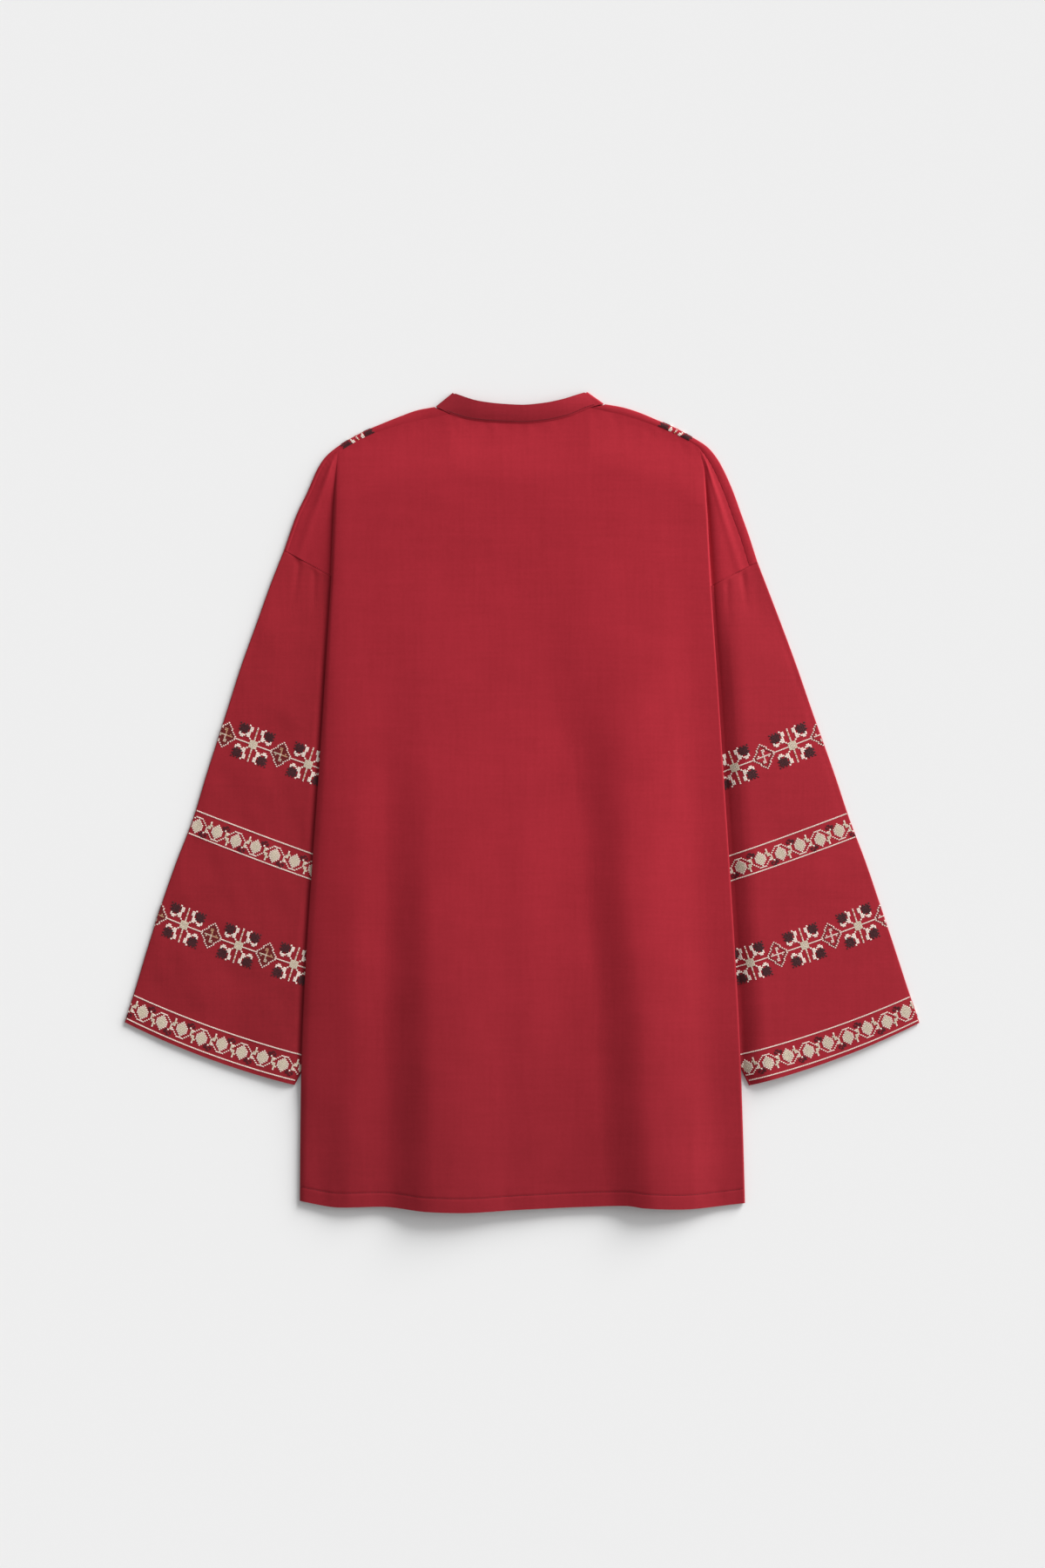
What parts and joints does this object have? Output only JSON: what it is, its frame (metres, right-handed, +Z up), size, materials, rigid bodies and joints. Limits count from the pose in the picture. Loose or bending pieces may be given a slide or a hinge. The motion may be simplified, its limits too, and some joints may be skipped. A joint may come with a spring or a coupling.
{
  "type": "embroidered kurti",
  "caption": "Loose long-sleeved kurti with a narrow band collar and cross-stitched sleeve bands, lying flat and face down.",
  "frame": {"origin": "on the surface that the garment lies on, under the middle of its outline", "axes": "+Y from the hem towards the neck, +X towards the wearer's right sleeve, +Z up, away from the surface"},
  "size_m": [0.7844, 0.8093, 0.0133],
  "materials": {
    "body_cloth": "soft plain-woven crimson cloth with a faint silky sheen",
    "sleeve_left_cloth": "the same crimson cloth",
    "sleeve_right_cloth": "the same crimson cloth",
    "collar_cloth": "the same crimson cloth, doubled"
  },
  "bodies": {
    "root": {"back": "body_cloth", "front": "body_cloth", "sleeve_left": "sleeve_left_cloth", "sleeve_right": "sleeve_right_cloth", "collar": "collar_cloth"}
  },
  "joints": []
}
